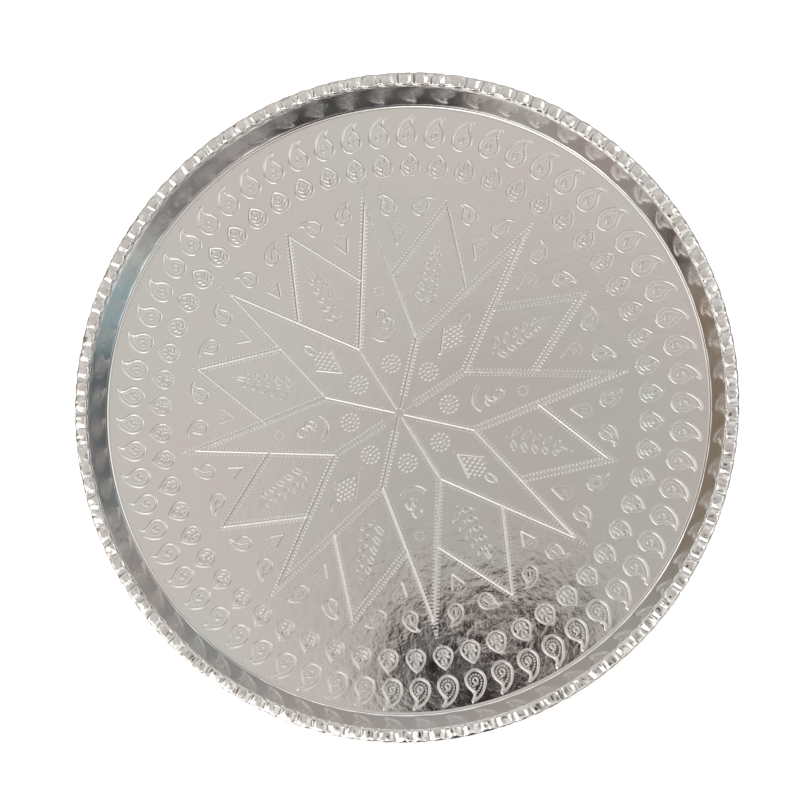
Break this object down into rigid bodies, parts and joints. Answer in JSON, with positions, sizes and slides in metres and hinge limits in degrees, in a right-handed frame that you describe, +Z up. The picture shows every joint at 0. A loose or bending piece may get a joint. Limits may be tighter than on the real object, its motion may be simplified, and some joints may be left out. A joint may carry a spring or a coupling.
{
  "type": "offering plate",
  "caption": "Round pressed-metal offering plate with a flat embossed floor, a low steep wall, a wire-stiffened edge and a fluted border.",
  "frame": {"origin": "centre of the flat resting face under the plate", "axes": "+Z up out of the dish along its axis; +X and +Y lie in the resting face"},
  "size_m": [0.305, 0.305, 0.0152],
  "materials": {
    "pan": "bright silver-coloured alloy, pressed and polished",
    "border": "bright silver-coloured alloy, rolled",
    "wire": "drawn steel wire",
    "solder": "dull grey solder"
  },
  "bodies": {
    "root": {"pan": "pan", "rim_wire": "wire", "fluted_border": "border", "border_solder": "solder"}
  },
  "joints": []
}
